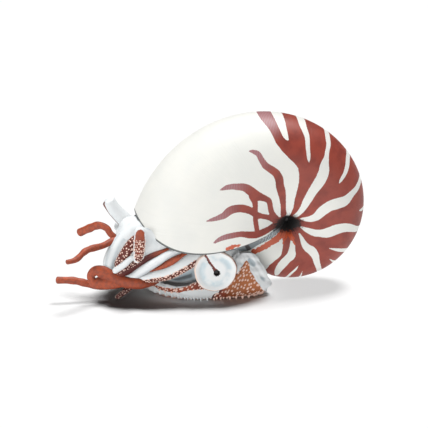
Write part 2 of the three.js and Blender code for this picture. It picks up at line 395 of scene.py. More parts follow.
# %% Flames
def stroke(turn, radius, table):
    """For each place: the largest of (half width - distance) over a stroke's short pieces, and
    how far along the stroke, from 0 to 1, that piece lies."""
    table = np.asarray(table, float)
    line = spline(table, 4 * len(table))
    bearing = np.radians(line[:, 0])
    corners = line[:, 1:2] * np.stack([np.cos(bearing), np.sin(bearing)], -1)
    x = radius * np.cos(np.radians(turn))
    z = radius * np.sin(np.radians(turn))
    best = np.full(x.shape, -99.0)
    way = np.zeros(x.shape)
    for k in range(len(line) - 1):
        at, gap = off_segment(x, z, corners[k], corners[k + 1])
        over = line[k, 2] + (line[k + 1, 2] - line[k, 2]) * at - gap
        closer = over > best
        best = np.where(closer, over, best)
        way = np.where(closer, (k + at) / (len(line) - 1), way)
    return best, way


# turn in degrees, radius, half width
FLAMES = {
    "first": [(118, 32.5, 0.1), (116, 31.8, 0.6), (113.5, 30.2, 0.9), (113, 28, 1), (112, 25.5, 1.2),
              (109, 23.5, 1.3), (105.5, 21.5, 1.4), (104, 19, 1.5), (105, 16.5, 1.5), (105, 14, 1.5),
              (106, 11, 1.2), (110, 7.5, 1), (120, 4, 1.2)],
    "second": [(149, 30.5, 0.1), (145, 29, 0.8), (142, 27.5, 1), (139, 25.5, 1.2), (136, 23.5, 1.4),
               (135, 21, 1.6), (134, 18, 1.6), (131, 16, 1.2), (128, 13.5, 1), (132, 11.5, 1),
               (139, 9.5, 1), (151, 6, 1.2)],
    "link": [(138, 19.5, 1.2), (142, 17, 1), (150, 15.3, 0.9), (161, 14, 0.9), (172, 13, 0.9),
             (181, 12.5, 0.8)],
    "third": [(171, 32, 0.1), (169, 29.5, 0.6), (167, 27.5, 0.9), (164, 25.5, 1.2), (159, 24, 1.4),
              (155, 21.5, 1.4), (153, 19, 1.4), (153, 16.5, 1.2), (155, 14, 1.1), (154, 11, 0.9),
              (153, 8.5, 1), (156, 6, 1.2), (160, 3, 1.6)],
    "fourth": [(186, 29, 0.1), (184, 27.5, 0.6), (182, 25, 0.9), (181, 22, 1), (180.5, 18.5, 1),
               (183, 15.5, 1.2), (185, 13, 1.2), (184, 10.5, 1.2), (181, 8, 1.1), (174, 5.5, 1.2),
               (168, 3, 1.4)],
}
GAPS = [
    [(96, 42, 2.2), (94.5, 37.5, 1.6), (94, 35.5, 1.3), (93, 33, 0.9), (91.5, 31.5, 0.1)],
    [(83, 42, 1.8), (82, 37, 1.5), (81, 35, 1.1), (79, 32.5, 0.9), (78, 29.5, 0.8), (76, 26, 0.6),
     (75, 24.5, 0.1)],
    [(66, 38, 1.1), (65, 34, 1), (63.5, 32, 0.9), (63, 29.5, 0.8), (62, 27.5, 1), (61, 25, 1.7),
     (59, 23, 2), (58, 20.5, 2.1), (58, 18, 2), (58.5, 14.5, 1.7), (57, 11.5, 1.6), (54, 9, 1.3),
     (48, 6, 1), (42, 3.5, 0.8)],
    [(47, 35, 1.3), (46, 31.5, 1), (44, 29.5, 0.9), (42, 27, 0.8), (41, 24.5, 0.6), (40, 23, 0.1)],
    [(29, 32, 0.9), (26.5, 29, 1), (25, 27, 1.1), (24, 24.5, 1.3), (22, 21.5, 1.9), (23.5, 18.5, 2.1),
     (25, 15.5, 2), (22, 12.5, 1.9), (15, 10, 1.5), (12, 8, 1.2), (13, 6, 0.8), (17, 4.5, 0.2)],
    [(6, 30, 0.8), (6, 27.5, 0.6), (7, 26, 0.1)],
    [(-11, 29, 1.1), (-9.5, 25.5, 1.2), (-7, 22, 1.6), (-7, 19.5, 1.8), (-9.5, 17, 2), (-15, 14.5, 1.9),
     (-19, 12, 1.4), (-22, 10, 1.3), (-23, 7.5, 1), (-23, 5, 0.3)],
    [(-30, 27, 1), (-30.5, 24, 0.8), (-32, 21, 0.6), (-34, 18, 0.1)],
    [(-44, 26, 0.9), (-44, 23.5, 0.4), (-44, 21.5, 0.1)],
    [(-48, 6, 0.3), (-53, 8.5, 0.8), (-55, 11, 1.3), (-52, 13.5, 1.6), (-52.5, 16, 1.4), (-56, 19, 1.1),
     (-59, 24, 0.9)],
    [(-77, 6, 0.4), (-80, 8.5, 0.9), (-83, 10.5, 1.2), (-85.5, 12.5, 1.6), (-92, 14, 1.5), (-97, 16, 1.6),
     (-100, 18.5, 1.3), (-100, 20.5, 0.9), (-100, 21.8, 0.2)],
    [(-77, 17, 0.1), (-81, 18.5, 0.4), (-86, 20.3, 0.5), (-90, 23, 0.5)],
    [(-74, 20, 0.1), (-77, 23, 0.4)],
]
# radius, turn in degrees, of the two ends of the painted sector
UPPER_END = [(3, 77), (6.5, 79), (10, 82), (14.5, 81), (17, 81), (19.5, 82), (22, 84), (23.5, 87),
             (25.5, 92), (28.5, 97), (31.5, 100), (34, 101), (36, 102), (39, 104.5), (44, 107)]
LOWER_END = [(3, -98), (7.5, -103), (10, -102), (12.5, -102), (15, -108), (17.5, -112), (21, -112.5),
             (22, -105), (24, -98)]

# radii and turns over which the paint fades to lilac, the turn past which the flames are drawn,
# and the share of a flame's length over which its lilac tip turns brown
LILAC_RADIUS = (31, 38)
LILAC_TURN = (93, 100)
FLAMES_PAST = 60
FLAME_TIP = (0.15, 0.5)


def painted(turn, radius):
    """Paint height over the whole shell, and how much it has faded to lilac."""
    upper = np.interp(radius, *np.transpose(UPPER_END))
    lower = np.interp(radius, *np.transpose(LOWER_END))
    height = np.radians(np.minimum(upper - turn, turn - lower)) * np.maximum(radius, 2)
    for table in GAPS:
        height = np.minimum(height, -stroke(turn, radius, table)[0])
    faded = ease(*LILAC_RADIUS, radius) * ease(*LILAC_TURN, turn)
    for name, table in FLAMES.items():
        over, way = stroke(turn, radius, table)
        over = np.where(turn > FLAMES_PAST, over, -99)
        pale = np.zeros_like(way) if name == "link" else 1 - ease(*FLAME_TIP, way)
        faded = np.where(over > height, pale, faded)
        height = np.maximum(height, over)
    return height, faded


paint, faded = painted(turns, radii)
print("painted share", round(float((paint > 0).mean()), 2))

# %% [markdown]
# The shell's finish is a satin cream with a red-brown paint that is a little uneven. Its tips
# fade to lilac with a fine hatch. The navel is nearly black, and rust-red brush marks run under
# it and beside the lip. Grey brush marks beside the lip, and a grey line along the lip's edge
# and over the inside of its mouth, are painted shade.

# %% Shell finish
CREAM = colour(243, 243, 237)
CREAM_SHADE = colour(238, 239, 234)
FLAME = colour(158, 70, 56)
FLAME_DARK = colour(134, 58, 48)
LILAC = colour(172, 134, 140)
NAVEL = colour(18, 17, 17)
RUST = colour(204, 82, 36)
BAND_PALE = colour(166, 180, 186)
BAND_SHADE_GREY = colour(124, 136, 140)
RIM_SHADE = colour(104, 108, 108)

finish = Finish("painted_shell")
wobble = finish.noise(1.3, 4)
paint_on = (finish.attribute("paint") + (wobble - 0.5) * 0.3).ramp(-0.05, 0.05)
cream = finish.mix(finish.noise(0.1, 4).ramp(0.3, 0.7), CREAM, CREAM_SHADE)
hatch = finish.wave(0.55, Distortion=2.5, Detail=2.0)
brown = finish.mix(finish.noise(0.25, 5).ramp(0.35, 0.75), FLAME, FLAME_DARK)
lilac = finish.mix(hatch.ramp(0.1, 0.9) * 0.6, LILAC, FLAME)
brown = finish.mix(finish.attribute("faded"), brown, lilac)
skin = finish.mix(paint_on, cream, brown)
brushed = finish.noise(0.9, 4)
# painted shade: grey brush marks on the flank beside the lip, running into the grey band
grey_shade_on = (finish.attribute("grey") + (brushed - 0.5) * 0.8).ramp(-0.1, 0.25)
skin = finish.mix(grey_shade_on, skin, finish.mix(brushed.ramp(0.4, 0.65), BAND_PALE, BAND_SHADE_GREY))
rust_on = (finish.attribute("rust") + (brushed - 0.5) * 1.6).ramp(-0.1, 0.15)
rust = finish.mix(finish.noise(1.4, 4).ramp(0.62, 0.72), RUST, NAVEL)
skin = finish.mix(rust_on * 0.95, skin, rust)
streaks = finish.noise_along("turn", 0.16, 4.0)
# near-black over the navel, spreading in streaks along the turn and ragged at its edge
navel_black = finish.attribute("navel") + (streaks - 0.5) * 2.4 + (finish.noise(1.1, 4) - 0.5) * 3.0
skin = finish.mix(navel_black.ramp(-1.3, 0.9), skin, NAVEL)
# painted shade: the lip's edge and the inside of its mouth turn grey, a shadow line along the rim
skin = finish.mix(finish.attribute("rim").ramp(0.6, 0.85), skin, RIM_SHADE)
growth = finish.noise_along("turn", 1.3, 3.0)
shell_finish = finish.set(
    Base_Color=skin,
    Roughness=0.42 + 0.12 * finish.noise(0.3, 2),
    Normal=finish.bump(growth, 0.25, 0.3),
)
print("shell finish has", len(finish.tree.nodes), "nodes")

# %% Shell piece
RUST_MARKS = [
    [(-112, 3.5, 1.2), (-117, 5, 1.2), (-122, 6.5, 1.2), (-127, 8.5, 1.2), (-131, 10.5, 1.1),
     (-134, 12.5, 1.1), (-136, 14.5, 1), (-138, 16.5, 1.2)],
    [(-100, 4, 1), (-102, 6, 0.8), (-103, 8.4, 0.1)],
    [(-84, 4, 1), (-78, 6, 0.8), (-74, 8.6, 0.1)],
    [(191.5, 19.5, 0.3), (191.3, 22, 0.7), (191.8, 24.5, 0.6)],
]
# strokes of painted shade beside the lip: turn in degrees, radius, half width
GREY_SHADE_MARKS = [[(182, 2.5, 1.2), (191, 5, 0.7), (194, 8, 0.3), (195, 11, 0.3), (195.5, 15, 0.4)]]
NAVEL_RADIUS = 3.9
NAVEL_SHIFT = 0.7
NAVEL_STRETCH = 1.35
NAVEL_SQUASH = 1.15


def marks(tables):
    """The largest height of several strokes, each only where the shell's turn is near its own."""
    height = np.full(turns.shape, -9.0)
    for table in tables:
        over = stroke(turns, radii, table)[0]
        height = np.maximum(height, np.where(np.abs(turns - table[0][0]) < 90, over, -9))
    return height


navel_across = (points[..., 0] - COIL[0] + NAVEL_SHIFT) / NAVEL_STRETCH
navel_up = (points[..., 2] - COIL[1] + NAVEL_SHIFT) * NAVEL_SQUASH
# rows of the lip's edge and inside, which carry the rim's painted shade
lip_rows = np.arange(len(points))[:, None] > len(outer_rows) - 1
shell = put_grid("shell_painted", points, {
    "paint": paint,
    "faded": faded,
    "turn": turns,
    "rust": marks(RUST_MARKS),
    "grey": marks(GREY_SHADE_MARKS),
    "navel": NAVEL_RADIUS - np.hypot(navel_across, navel_up),
    "rim": lip_rows.astype(float),
})
stand_in_for(shell, "shell", shell_finish, "shell")

# %% [markdown]
# Beside the navel the lip doesn't end in the air: a grey, wrinkled strip of shell closes the
# step from the lip's edge down to the turn of the coil below it. Its greys, darker over the
# middle of its length and black by the navel, and its dark wrinkles are painted shade of that
# step. It is a thin closed band whose upper edge follows the lip and whose lower edge follows
# the coil.

# %% Grey band under the lip
BAND_WRINKLE_SHADE = colour(96, 104, 106)
BAND_CROSS_LINE = colour(44, 42, 42)
# radius, turn in degrees of the upper edge and of the lower edge
BAND = [(2.5, 193, -124), (5, 193, -128), (8, 193.5, -133), (11, 193.7, -139), (14, 193.8, -142),
        (17, 193.8, -142), (20, 193.6, -144), (24, 193, -147)]


def on_flank(radius, degrees, inset):
    """Place on the near flank at a radius and a turn in degrees."""
    turn = np.radians(degrees)
    half = flank(turn, np.clip(radius / keel(turn), 0.02, 0.98)) - inset
    return np.stack([COIL[0] + radius * np.cos(turn), -half, COIL[1] + radius * np.sin(turn)], -1)


line = spline(BAND, 120)
upper = on_flank(line[:, 0], line[:, 1] - 0.4, 0.25)
lower = on_flank(line[:, 0], line[:, 2], 0.35)
share = np.concatenate([np.linspace(0, 1, 16), np.linspace(1, 0, 16)])[None, :, None]
hidden = np.repeat([0.0, 1.0], 16)[None, :, None]
strip = upper[:, None] * (1 - share) + lower[:, None] * share
ripple = 0.12 * np.sin(line[:, 0] * 5 + 3 * np.sin(line[:, 0])) * np.exp(-(((line[:, 0] - 9) / 5) ** 2))
sunk = 0.5 * np.sin(np.pi * share) + 1.2 * hidden - ripple[:, None, None] * (1 - hidden)
strip = strip + np.array([0, 1, 0]) * sunk
strip[0] = strip[0].mean(0)
strip[-1] = strip[-1].mean(0)

finish = Finish("grey_band")
way = finish.attribute("radius")
wrinkle = finish.wave(0.28, Distortion=6.0, Detail=3.0, Detail_Scale=1.5)
# painted shade: greys darker mid-length, dark wrinkles and black by the navel; a dark line crosses it
skin = finish.mix(way.ramp(10, 14), BAND_PALE, BAND_SHADE_GREY)
skin = finish.mix(way.ramp(19, 22), skin, BAND_PALE)
wrinkle_shade = wrinkle.ramp(0.6, 0.75) * way.ramp(4, 7) * (1 - way.ramp(11, 15))
skin = finish.mix(wrinkle_shade, skin, BAND_WRINKLE_SHADE)
skin = finish.mix(1 - way.ramp(3.5, 7.5), skin, NAVEL)
skin = finish.mix(way.ramp(16.4, 16.9) * (1 - way.ramp(17.9, 18.5)), skin, BAND_CROSS_LINE)
band_finish = finish.set(Base_Color=skin, Roughness=0.55, Normal=finish.bump(finish.noise(0.9, 3), 0.15, 0.6))
for side in ("right", "left"):
    piece = put_grid(f"lip_band_{side}", strip, {"radius": line[:, :1]}, mirror=side == "left")
    stand_in_for(piece, "shell", band_finish)

# %% [markdown]
# Sheaths, tentacles and the funnel are all fingers: an oval ring carried along a smooth line.
# The ring has one half thickness towards the viewer's side and one across it, and it closes
# with a round end. The rows crowd together at the ends, where the surface turns fastest.

# %% Fingers
def finger(table, face=NEAR, rows=110, sides=48, blunt=1.0):
    """Ring points: centre + towards cos(angle) deep + across sin(angle) wide, with both halves
    shrunk at the ends by the square root of 1 - u^2. Rows of `table` are x, y, z, wide, deep."""
    line = spline(table, 500)
    walked = np.concatenate([[0], np.cumsum(np.linalg.norm(np.diff(line[:, :3], axis=0), axis=1))])
    length = walked[-1]
    stops = length * (1 - np.cos(np.linspace(0, np.pi, rows))) / 2
    x, y, z, wide, deep = (np.interp(stops, walked, line[:, k]) for k in range(5))
    centre = np.stack([x, y, z], -1)
    tangent = unit(np.gradient(centre, stops, axis=0))
    face = np.asarray(face, float)
    towards = unit(face - (tangent @ face)[:, None] * tangent)
    across = np.cross(tangent, towards)
    ends = []
    for half, left in ((line[0, 3:].min(), stops), (line[-1, 3:].min(), length - stops)):
        ends.append(np.sqrt(1 - np.clip(1 - left / (half * blunt), 0, 1) ** 2))
    shrink = (ends[0] * ends[1])[:, None, None]
    angle = np.linspace(-np.pi, np.pi, sides, endpoint=False)[None, :, None]
    ring = towards[:, None] * deep[:, None, None] * np.cos(angle)
    ring = ring + across[:, None] * wide[:, None, None] * np.sin(angle)
    grid = centre[:, None] + ring * shrink
    return grid, stops[:, None] / length, angle[..., 0], length


# share of a cell that the middle of its wart may lie in
WART_PLAY = 0.7


def warts(u, v, around=0, size=0.4, seed=1):
    """Round warts on a jittered grid of unit cells: 1 - (distance / size)^2 for the nearest wart
    of the nine cells about each place, and 0 where none is within `size`."""
    best = np.zeros(np.broadcast(u, v).shape)
    row = np.floor(u).astype(int)
    for step_u in (-1, 0, 1):
        cell_u = row + step_u
        shifted = v + 0.5 * (cell_u % 2)
        column = np.floor(shifted).astype(int)
        for step_v in (-1, 0, 1):
            cell_v = column + step_v
            known = cell_v % around if around else cell_v
            mixed = (cell_u * 73856093) ^ (known * 19349663) ^ (seed * 83492791)
            mixed = (mixed ^ (mixed >> 13)) * 1274126177
            one = ((mixed >> 4) & 1023) / 1023
            two = ((mixed >> 15) & 1023) / 1023
            away_u = u - (cell_u + 0.5 + WART_PLAY * (one - 0.5))
            away_v = shifted - (cell_v + 0.5 + WART_PLAY * (two - 0.5))
            reach = size * (0.75 + 0.35 * one)
            best = np.maximum(best, 1 - (away_u**2 + away_v**2) / reach**2)
    return best


def swell(x, y, z, pace, seed=0):
    """A slow lumpy value between -1 and 1: the mean of three sines of turned places."""
    return (np.sin(pace * (x + 0.6 * z) + seed) + np.sin(pace * 1.3 * (y - 0.5 * x) + 2 * seed + 1)
            + np.sin(pace * 0.8 * (z + 0.4 * y) + 3 * seed + 2)) / 3


def zone(x, z, outline):
    """How far inside a closed outline in the side view each place lies: the distance to the
    nearest of its edges, and minus that distance outside."""
    corners = np.asarray(outline, float)
    gap = np.full(x.shape, 99.0)
    inside = np.zeros(x.shape, bool)
    for (x0, z0), (x1, z1) in zip(corners, np.roll(corners, -1, 0)):
        gap = np.minimum(gap, off_segment(x, z, (x0, z0), (x1, z1))[1])
        slope = (x1 - x0) / (z1 - z0) if z1 != z0 else 0.0
        inside ^= ((z0 > z) != (z1 > z)) & (x < x0 + (z - z0) * slope)
    return np.where(inside, gap, -gap)


print("finger, wart and zone helpers ready")

# %% [markdown]
# All the flesh shares one finish, told apart by four painted values on each piece: how far it
# is bare orange-brown instead of white, where a pale wart stands, how dark the hollows are, and
# how much blue-grey lies on the white. The dark red is partly paint and partly painted shade in
# hollows and on lower sides. The blue-grey is partly a wash of paint and partly painted shade,
# turning to a darker grey of shade where it runs high; on bare orange-brown it turns the ground
# ochre instead.

# %% Flesh finish
WHITE = colour(238, 242, 243)
WASH_AND_SHADE_BLUE = colour(168, 184, 192)
ORANGE = colour(188, 86, 50)
TAWNY = colour(156, 76, 52)
DARK_RED = colour(78, 18, 14)
SHADE = colour(96, 104, 108)
WART = colour(250, 216, 200)
OCHRE = colour(204, 124, 66)

finish = Finish("painted_flesh")
bare = finish.attribute("bare")
spot = finish.attribute("spot")
deep = finish.attribute("deep")
wash_and_shade = finish.attribute("wash_and_shade")
mottle = finish.noise(0.35, 3)
# blue-grey on the white: partly a wash of paint, partly painted shade that goes darker past 1.1
white = finish.mix((wash_and_shade + (mottle - 0.5) * 0.35).ramp(0.05, 1.0), WHITE, WASH_AND_SHADE_BLUE)
white = finish.mix((wash_and_shade + (mottle - 0.5) * 0.3).ramp(1.1, 2.0), white, SHADE)
ground = finish.mix(finish.noise(0.9, 4).ramp(0.35, 0.65), ORANGE, TAWNY)
ground = finish.mix(wash_and_shade, ground, OCHRE)
# dark red: partly the paint's own, partly painted shade in hollows and on lower sides
ground = finish.mix(deep, ground, DARK_RED)
ragged = bare + (finish.noise(1.5, 3) - 0.5) * 0.4
skin = finish.mix(ragged.ramp(0.4, 0.6), white, ground)
skin = finish.mix(spot.ramp(0.15, 0.4) * bare.ramp(0.1, 0.3), skin, WART)
flesh_finish = finish.set(
    Base_Color=skin,
    Roughness=0.5 + 0.15 * finish.noise(0.5, 2),
    Normal=finish.bump(finish.noise(1.2, 3), 0.08, 0.5),
)
print("flesh finish has", len(finish.tree.nodes), "nodes")


def flesh(name, grid, slot, nodes, bare=0.0, spot=0.0, deep=0.0, wash_and_shade=0.0, both=True,
          set_back=(0, 0, 0)):
    """One piece of flesh on the animal's right side, and its mirror image on the left, which
    `set_back` may move a little."""
    values = {"bare": bare, "spot": spot, "deep": deep, "wash_and_shade": wash_and_shade}
    for side in ("right", "left") if both else ("",):
        title = f"{name}_{side}" if side else name
        moved = grid + np.array(set_back) if side == "left" else grid
        piece = put_grid(title, moved, values, mirror=side == "left")
        stand_in_for(piece, slot, flesh_finish, *[node.replace("*", side) for node in nodes])


def raised(grid, amount):
    """The grid moved along its own outward normals by `amount` millimetres."""
    normals = grid_normals(grid)
    inside = grid.mean(axis=1, keepdims=True)
    outward = np.sign(np.sum(normals * (grid - inside), axis=-1, keepdims=True).sum())
    return grid + normals * outward * np.asarray(amount)[..., None]


# %% [markdown]
# The white sheaths come first. In the photograph the large ventral one falls forward and down
# in front of the funnel, and the lateral and middle ones lie along the side of the head. Each
# is smooth on its upper side, and the lateral one is warty along its lower edge. A slender one,
# low in front of the upright sheath, has no solid of its own.

# %% White sheaths
WART_RISE = 0.2
FAR_LOBE = (3, 0, -3)
VENTRAL = [(-21, -6, 23, 3, 3), (-27.6, -7, 25, 3.4, 3), (-31.8, -8, 23, 3, 2.6),
           (-34.6, -8.6, 20, 2.7, 2.4), (-36.7, -8.8, 17, 2.5, 2.3), (-37.9, -9, 14, 2.2, 2.1),
           (-37.8, -9, 11.2, 1.9, 1.8)]
grid, way, angle, length = finger(VENTRAL)
# lengthwise blue-grey streaks, partly a wash and partly painted shade, and painted shade along one side
brushed = 0.25 + 0.25 * np.sin(6 * angle + 4 * way + np.sin(9 * way))
flesh("ventral_lobe", grid, "sheath", ["sheath_ventral_*"], set_back=FAR_LOBE,
      wash_and_shade=brushed + 0.3 * ease(-0.2, -1, np.sin(angle)))

grid, way, angle, length = finger([
    (-8, -12.6, 22, 1.2, 2), (-16.5, -16, 19.5, 1.3, 2.2), (-21, -16.2, 16.8, 1.6, 2.3),
    (-25.2, -15.4, 14.1, 1.8, 2.2), (-28.9, -12.4, 10.6, 1.9, 1.9), (-33.8, -10.2, 7.4, 1.4, 1.5)])
# painted shade: blue-grey along both edges of the sheath, stronger along the lower
shade_streak = ease(0.3, -1, np.sin(angle)) + 0.5 * ease(0.5, 1, np.sin(angle))
flesh("middle_sheath", grid, "sheath", ["sheath_middle_*"], wash_and_shade=0.5 * shade_streak)

BAND_TOP = -0.65
BAND_FROM = 0.3
grid, way, angle, length = finger([
    (2, -10.5, 18.5, 2, 2), (-4, -13.6, 18, 2.3, 2.3), (-8, -15.2, 17.1, 2.7, 2.4),
    (-11.5, -16, 15.4, 2.9, 2.5), (-17, -15.8, 12.3, 2.6, 2.5), (-21.3, -14.8, 10.9, 2.3, 2.3),
    (-28, -12.2, 8.8, 1.7, 1.7)], rows=240, sides=120)
below = np.minimum(BAND_TOP - 2.5 * np.sin(angle), (way - BAND_FROM) * 12)
dots = warts(way * length / 0.85, angle / (2 * np.pi) * 17, 17)
grid = raised(grid, WART_RISE * dots * ease(-0.2, 0.2, below))
flesh("lateral_sheath", grid, "sheath", ["sheath_lateral_*"], bare=0.5 + below,
      spot=dots, deep=0.85, wash_and_shade=0.1)

grid, way, angle, length = finger([
    (-27, -13, 18.2, 0.8, 0.9), (-30.2, -14.6, 17.6, 1, 1), (-33, -14.4, 15.2, 1.2, 1.1),
    (-36.8, -13.4, 12.2, 1, 1)])
# painted shade: blue-grey along the sheath's lower side
flesh("slender_sheath", grid, "sheath", [], wash_and_shade=0.3 * ease(0.2, -1, np.sin(angle)))

# %% [markdown]
# Between the white sheaths lie the red-brown ones, covered in pale warts, and the orange
# tentacle that rests in its groove. The upright one has a smooth orange tip and white margins.

# %% Warty sheaths
grid, way, angle, length = finger([
    (-24, -9, 25, 1.6, 1.8), (-29, -12, 22.8, 1.9, 2), (-32.5, -12.8, 18.6, 1.8, 2),
    (-35.6, -12.2, 13.6, 1.2, 1.6)],
    rows=150, sides=72)
dots = warts(way * length, angle / (2 * np.pi) * 11, 11, size=0.32, seed=2)
flesh("inner_sheath", raised(grid, WART_RISE * dots), "sheath", ["sheath_inner_*"], bare=1.0, spot=dots,
      deep=0.85, set_back=(3, 0, -5))

UPRIGHT_FACE = [(-27.1, 28.7), (-26, 28.2), (-25.5, 27), (-25.4, 24), (-25.8, 20.6), (-26.4, 17.6),
                (-27.6, 16.4), (-29.2, 17.4), (-29.4, 21.5), (-29.2, 25), (-28.7, 27.6), (-28.1, 28.4)]
grid, way, angle, length = finger([
    (-24, -11, 13, 1.6, 1.5), (-27.5, -14.6, 16, 1.7, 1.6), (-27.5, -15.8, 21, 2.15, 1.6),
    (-27.2, -15.2, 25, 2.1, 1.5), (-27.1, -14.6, 29.2, 1.7, 1.3)], rows=220, sides=120)
front = np.where(np.cos(angle) > 0, zone(grid[..., 0], grid[..., 2], UPRIGHT_FACE), -1)
warty = ease(25.2, 24.4, grid[..., 2])
dots = warts(way * length / 0.8, angle / (2 * np.pi) * 16, 16, seed=3) * warty
grid = raised(grid, (WART_RISE * dots - 0.25) * ease(-0.2, 0.2, front))
# darker red over the warty lower part, and darker still towards the bottom
flesh("upright_sheath", grid, "sheath", ["sheath_upright_*"], bare=0.5 + front, spot=dots,
      deep=0.1 + 0.5 * warty + 0.3 * ease(20, 17, grid[..., 2]), set_back=(4, 3.4, -6))

grid, way, angle, length = finger([
    (-13, -12.5, 21.8, 0.5, 1), (-18, -15, 20.4, 0.6, 1.4), (-22.3, -15, 18.7, 0.95, 1.6),
    (-25.9, -15, 16.8, 1.2, 1.8), (-28.7, -14.6, 15.2, 1.5, 1.9), (-32, -13.6, 12.9, 1.8, 1.9),
    (-35.4, -12.6, 11, 1.4, 1.5)], rows=180, sides=72)
dots = warts(way * length / 0.85, angle / (2 * np.pi) * 14, 14, seed=4)
dots = dots * ease(0.5, 0.62, way) * ease(-0.1, 0.35, np.sin(angle))
# painted shade: the fold darkens to deep red along its length and lightens a little at its tip
flesh("fold_sheath", raised(grid, WART_RISE * dots), "sheath", ["sheath_fold_*"], bare=1.0, spot=dots,
      deep=0.25 + 0.75 * ease(0.25, 0.5, way) - 0.3 * ease(0.85, 1, way))

grid, way, angle, length = finger([
    (-7, -13, 19.6, 0.4, 1.2), (-11.6, -16, 18.9, 0.6, 1.4), (-14.5, -17, 17.6, 1.1, 1.5),
    (-17.2, -16.8, 16, 1.25, 1.6), (-20.4, -15.8, 14.2, 0.9, 1.4), (-24, -14.6, 12.6, 0.5, 1)])
# painted shade: darker red along the lower side
flesh("resting_tentacle", grid, "tentacle", ["resting_cirrus_*"], bare=1.0,
      deep=0.2 * ease(0.5, -1, np.sin(angle)))

grid, way, angle, length = finger([
    (-21, -6, 9, 2, 2), (-28, -7.8, 6.4, 1.4, 1.6), (-32.6, -9, 2.8, 1, 1.2), (-35.6, -10, 1, 0.8, 0.9)],
    face=(0, -1, 0), rows=120, sides=72)
front = 1.3 * np.sin(angle + 0.6)
dots = warts(way * length, angle / (2 * np.pi) * 10, 10, size=0.28, seed=5)
grid = np.maximum(raised(grid, 0.18 * dots * ease(-0.2, 0.2, front)), [-99, -99, 0.02])
flesh("foot_sheath", grid, "sheath", ["sheath_foot_*"], bare=1.0, spot=dots, deep=1.0)

# %% [markdown]
# Four tentacles are free. They are slender, orange-brown and a little uneven along their
# length, and they have round ends. The looped one leaves the head as a flat ribbon.

# %% Free tentacles
TENTACLES = {
    "upper": ([(-31, -4, 18.6, 1, 1), (-36.4, -4, 23, 1.1, 1.1), (-38.2, -3.2, 25.4, 1.25, 1.2),
               (-41, -1.6, 26, 1.4, 1.3), (-44.3, 1, 24.1, 1.5, 1.4), (-48, 3.6, 21.6, 1.45, 1.3)], NEAR),
    "outer": ([(-31, -6, 22.6, 1.1, 1.1), (-36, -7.4, 22.1, 1.2, 1.1), (-40, -9.8, 21.1, 1.25, 1.2),
               (-46, -14.6, 21.2, 1.25, 1.15), (-50, -17.6, 19, 1.1, 1),
               (-53.7, -19.5, 18.7, 0.95, 0.9)], (0, 0, 1)),
    "looped": ([(-19, -8, 6.6, 0.8, 0.8), (-22.6, -12.4, 7.2, 1, 1.1), (-25.3, -14.2, 7.4, 1.4, 1.3),
                (-28.1, -14.6, 7.9, 1.9, 1.35), (-32, -13.9, 8.2, 2.1, 1.35),
                (-36, -12.8, 9.4, 2.2, 1.35), (-39.6, -12.4, 11.6, 2.3, 1.3),
                (-42.8, -11.8, 12.4, 1.9, 1.3), (-44.6, -11.6, 10.5, 1.4, 1.2),
                (-43.6, -12, 8.2, 1.8, 1.2), (-40.8, -12.6, 8, 2.2, 1.1), (-37, -13.2, 7.8, 1.9, 1),
                (-33.6, -13.4, 7.7, 1.3, 0.9)], NEAR),
    "low": ([(-29, -6, 6.6, 1, 1), (-34.6, -7.8, 5.4, 1.2, 1.2), (-40, -8.8, 5.2, 1.2, 1.2),
             (-44.9, -9, 6.4, 1.35, 1.2), (-50.5, -9, 8, 1.35, 1.2), (-57, -9, 8.5, 1.25, 1)], NEAR),
}
for name, (table, face) in TENTACLES.items():
    grid, way, angle, length = finger(table, face, rows=180, sides=36, blunt=0.7)
    grid = raised(grid, 0.07 * np.sin(way * length * 1.1 + 2 * np.sin(way * 9)))
    fade = ease(0.04, 0.1, way) if name == "looped" else 1.0
    # painted shade: darker red along one side, the lower side on all but the outer tentacle
    flesh(f"{name}_tentacle", grid, "tentacle", [f"tentacle_{name}"], bare=fade,
          deep=0.1 + 0.25 * ease(0.2, -1, np.sin(angle)), both=False)

# %% [markdown]
# The funnel is the white tube that a living nautilus swims with. It leans out of the shell's
# mouth in front of the lip, with a thin brown line down its front.

# %% Funnel
FUNNEL = [(-22, 0, 19, 3, 3), (-27, 0, 23.2, 3, 3), (-31.8, 0, 27.6, 2.75, 2.7), (-35, 0, 31.2, 2.55, 2.5),
          (-37.6, 0, 35.4, 2.4, 2.3)]
LINE_ANGLE = -1.2
grid, way, angle, length = finger(FUNNEL, rows=120, sides=128, blunt=0.55)
line = 0.5 + (0.22 + 0.5 * ease(0.8, 0.97, way) - 2.5 * np.abs(angle - LINE_ANGLE)) * 2
line = line - 2 * ease(0.6, 0.5, way) - 2 * ease(0.985, 0.995, way)
# painted shade: blue-grey over the white, more along one side
flesh("funnel_tube", grid, "mantle", ["funnel"], bare=line, deep=0.8,
      wash_and_shade=0.15 + 0.2 * ease(0.2, -1, np.sin(angle)), both=False)

# %% [markdown]
# The head fills the shell's mouth. It is built up as a modeller would with clay: egg shapes for
# the head, the crown, the two cheeks and the flesh beside the near ventral sheath, a fold on
# each side of the funnel, a thicker copy of each ventral sheath's root and a slightly thinner
# one of the funnel's. A voxel remesh melts them into one skin, and relaxing the skin leaves a
# soft fillet wherever a sheath or the funnel comes out of it.

# %% Head
def egg(middle, halves, rows=60, sides=80):
    """Middle plus half lengths times the unit sphere at a rise and a spin."""
    rise = np.linspace(-np.pi / 2, np.pi / 2, rows)[:, None]
    spin = np.linspace(0, 2 * np.pi, sides, endpoint=False)[None, :]
    ball = np.broadcast_arrays(np.sin(rise), np.cos(rise) * np.cos(spin), np.cos(rise) * np.sin(spin))
    return np.array(middle) + np.array(halves) * np.stack(ball, -1)


